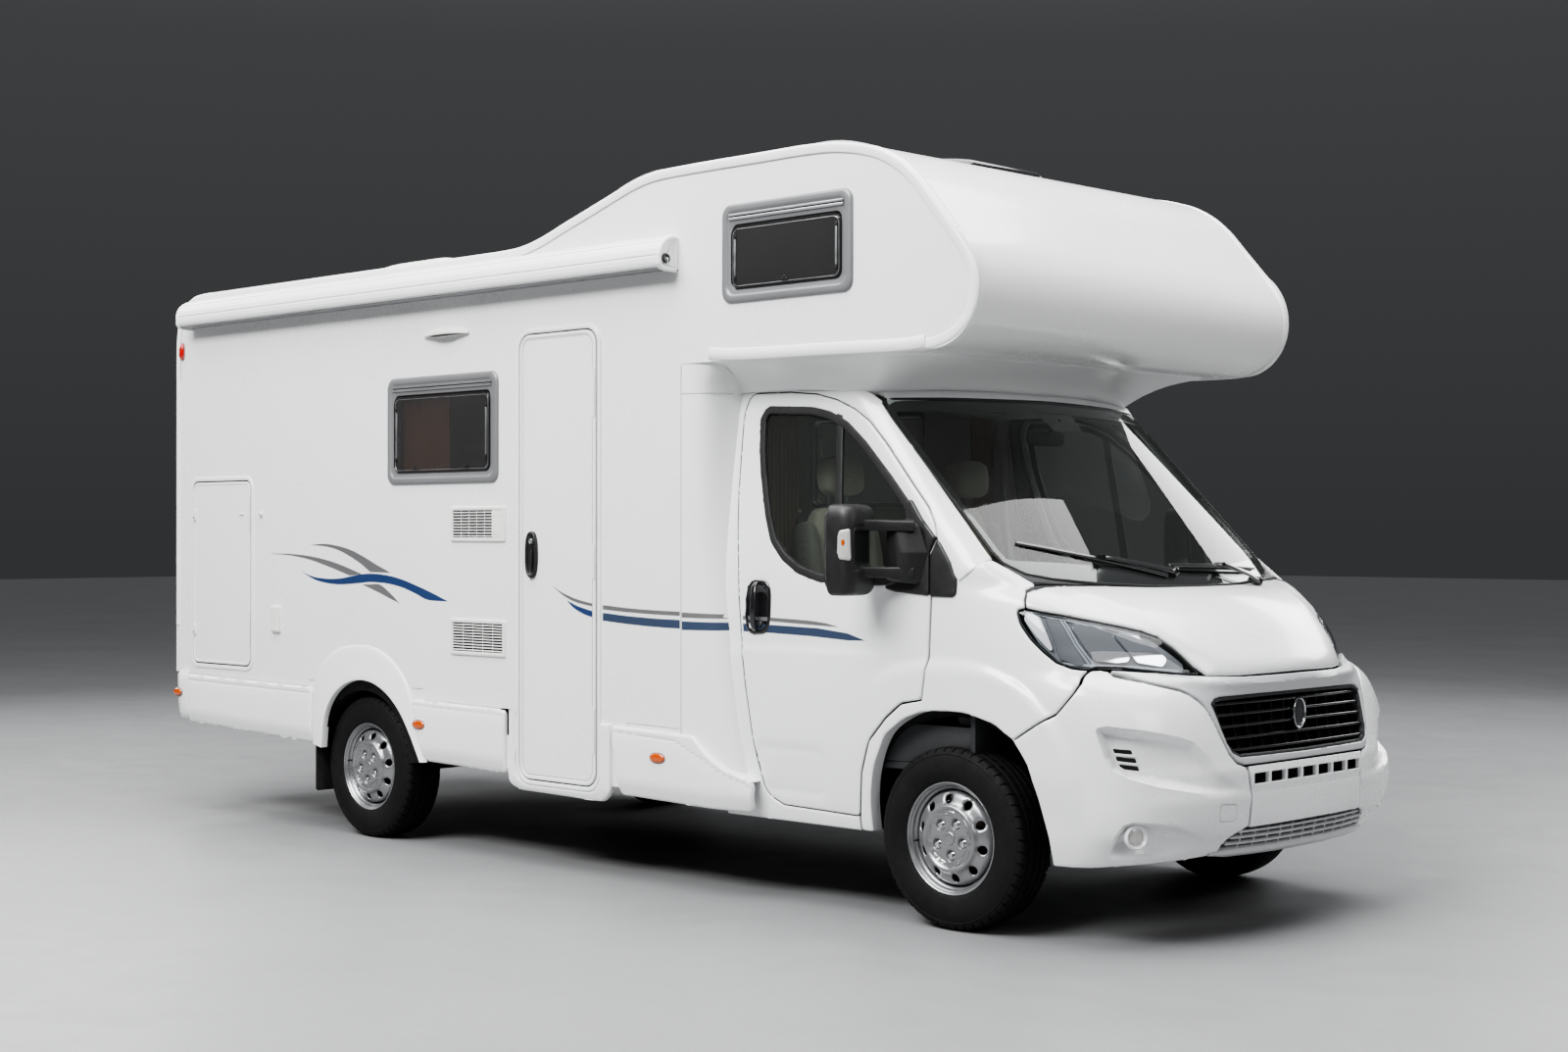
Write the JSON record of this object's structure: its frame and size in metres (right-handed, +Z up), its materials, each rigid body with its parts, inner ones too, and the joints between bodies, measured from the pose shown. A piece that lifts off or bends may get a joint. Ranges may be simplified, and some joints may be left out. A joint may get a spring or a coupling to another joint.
{
  "type": "over-cab motorhome",
  "caption": "Coachbuilt camper with a bed pod over a light van cab, hinged doors and hatches, steered front wheels and a wound-in side awning.",
  "frame": {"origin": "on the ground under the middle of the overall box", "axes": "+X forward, +Y to the vehicle's left, +Z up"},
  "size_m": [6.615, 2.54, 3.188],
  "materials": {
    "body_white": "white gelcoat",
    "cab_white": "white enamel",
    "bumper_white": "painted plastic",
    "tinted_acrylic": "dark tinted",
    "cab_glass": "green tint",
    "black_plastic": "grained",
    "dark_trim": "fine grain",
    "silver_wheel": "silver paint",
    "tyre": "black rubber",
    "chassis_black": "black paint",
    "engine_iron": "as cast",
    "exhaust_steel": "dull",
    "lamp_clear": "clear over chrome",
    "lamp_red": "red lens",
    "floor_board": "vinyl plank",
    "furniture_wood": "satin veneer",
    "seat_cloth": "beige weave",
    "curtain_cloth": "brown"
  },
  "bodies": {
    "motorhome": {"chassis_frame": "chassis_black", "front_subframe": "chassis_black", "rear_axle": "chassis_black", "engine_block": "engine_iron", "exhaust": "exhaust_steel", "underfloor_tanks": "black_plastic", "living_floor": "floor_board", "right_side_wall": "body_white", "left_side_wall": "body_white", "rear_wall": "body_white", "main_roof": "body_white", "overcab_nose": "body_white", "cab_fairings": "body_white", "right_skirts": "body_white", "left_skirts": "body_white", "rear_bumper": "body_white", "rear_lights": "lamp_red", "awning_cassette": "body_white", "living_windows": "tinted_acrylic", "fridge_vents": "body_white", "cab_shell": "cab_white", "windscreen": "cab_glass", "front_wings": "cab_white", "front_bumper": "bumper_white", "front_grille": "black_plastic", "headlamps": "lamp_clear", "dashboard": "dark_trim", "cab_seats": "seat_cloth", "cab_curtains": "curtain_cloth", "living_furniture": "furniture_wood", "overcab_mattress": "seat_cloth"},
    "right_door": {"right_cab_door": "cab_white", "right_door_glass": "cab_glass", "right_mirror": "black_plastic"},
    "left_door": {"left_cab_door": "cab_white", "left_door_glass": "cab_glass", "left_mirror": "black_plastic"},
    "living_door": {"entrance_door": "body_white"},
    "garage_door": {"garage_hatch": "body_white"},
    "service_door": {"service_hatch": "body_white"},
    "bonnet_lid": {"bonnet": "cab_white"},
    "rear_roof_lid": {"rear_rooflight_lid": "body_white"},
    "overcab_roof_lid": {"overcab_rooflight_lid": "tinted_acrylic"},
    "steering": {"steering_wheel": "black_plastic"},
    "right_hub": {"right_knuckle": "chassis_black"},
    "left_hub": {"left_knuckle": "chassis_black"},
    "front_right_road_wheel": {"front_right_tyre": "tyre", "front_right_wheel": "silver_wheel"},
    "front_left_road_wheel": {"front_left_tyre": "tyre", "front_left_wheel": "silver_wheel"},
    "rear_right_road_wheel": {"rear_right_tyre": "tyre", "rear_right_wheel": "silver_wheel"},
    "rear_left_road_wheel": {"rear_left_tyre": "tyre", "rear_left_wheel": "silver_wheel"}
  },
  "joints": [
    {"name": "right_steer", "type": "hinge", "parent": "motorhome", "child": "right_hub", "pos_m": [2.3075, -0.82, 0.359], "axis": [0, 0, 1], "range_deg": [-35, 35]},
    {"name": "left_steer", "type": "hinge", "parent": "motorhome", "child": "left_hub", "pos_m": [2.3075, 0.82, 0.359], "axis": [0, 0, 1], "range_deg": [-35, 35]},
    {"name": "steering_wheel_turn", "type": "hinge", "parent": "motorhome", "child": "steering", "pos_m": [1.9125, 0.425, 1.215], "axis": [-0.53, 0, 0.848], "range_deg": [-490, 490]},
    {"name": "front_right_spin", "type": "hinge", "parent": "right_hub", "child": "front_right_road_wheel", "pos_m": [2.3075, -0.9, 0.359], "axis": [0, 1, 0], "continuous": true},
    {"name": "front_left_spin", "type": "hinge", "parent": "left_hub", "child": "front_left_road_wheel", "pos_m": [2.3075, 0.9, 0.359], "axis": [0, 1, 0], "continuous": true},
    {"name": "rear_right_spin", "type": "hinge", "parent": "motorhome", "child": "rear_right_road_wheel", "pos_m": [-1.4925, -0.952, 0.359], "axis": [0, 1, 0], "continuous": true},
    {"name": "rear_left_spin", "type": "hinge", "parent": "motorhome", "child": "rear_left_road_wheel", "pos_m": [-1.4925, 0.952, 0.359], "axis": [0, 1, 0], "continuous": true},
    {"name": "right_door_hinge", "type": "hinge", "parent": "motorhome", "child": "right_door", "pos_m": [2.2075, -1.03, 1.1], "axis": [0, 0, 1], "range_deg": [0, 68]},
    {"name": "left_door_hinge", "type": "hinge", "parent": "motorhome", "child": "left_door", "pos_m": [2.2075, 1.03, 1.1], "axis": [0, 0, -1], "range_deg": [0, 68]},
    {"name": "entrance_door_hinge", "type": "hinge", "parent": "motorhome", "child": "living_door", "pos_m": [0.3435, -1.115, 1.4], "axis": [0, 0, 1], "range_deg": [0, 100]},
    {"name": "garage_hatch_hinge", "type": "hinge", "parent": "motorhome", "child": "garage_door", "pos_m": [-2.4965, -1.115, 1.33], "axis": [0, 0, 1], "range_deg": [0, 100]},
    {"name": "service_hatch_hinge", "type": "hinge", "parent": "motorhome", "child": "service_door", "pos_m": [-0.5865, 1.115, 1.04], "axis": [0, 0, -1], "range_deg": [0, 100]},
    {"name": "bonnet_hinge", "type": "hinge", "parent": "motorhome", "child": "bonnet_lid", "pos_m": [2.6075, 0, 1.365], "axis": [0, -1, 0], "range_deg": [0, 52]},
    {"name": "rear_rooflight_hinge", "type": "hinge", "parent": "motorhome", "child": "rear_roof_lid", "pos_m": [-1.1125, -0.61, 2.903], "axis": [0, 1, 0], "range_deg": [0, 55]},
    {"name": "overcab_rooflight_hinge", "type": "hinge", "parent": "motorhome", "child": "overcab_roof_lid", "pos_m": [1.6075, -0.18, 3.149], "axis": [0, 1, 0], "range_deg": [0, 50]}
  ],
  "couplings": [
    {"joint": "left_steer", "follows": "right_steer", "ratio": 1},
    {"joint": "steering_wheel_turn", "follows": "right_steer", "ratio": 14}
  ]
}
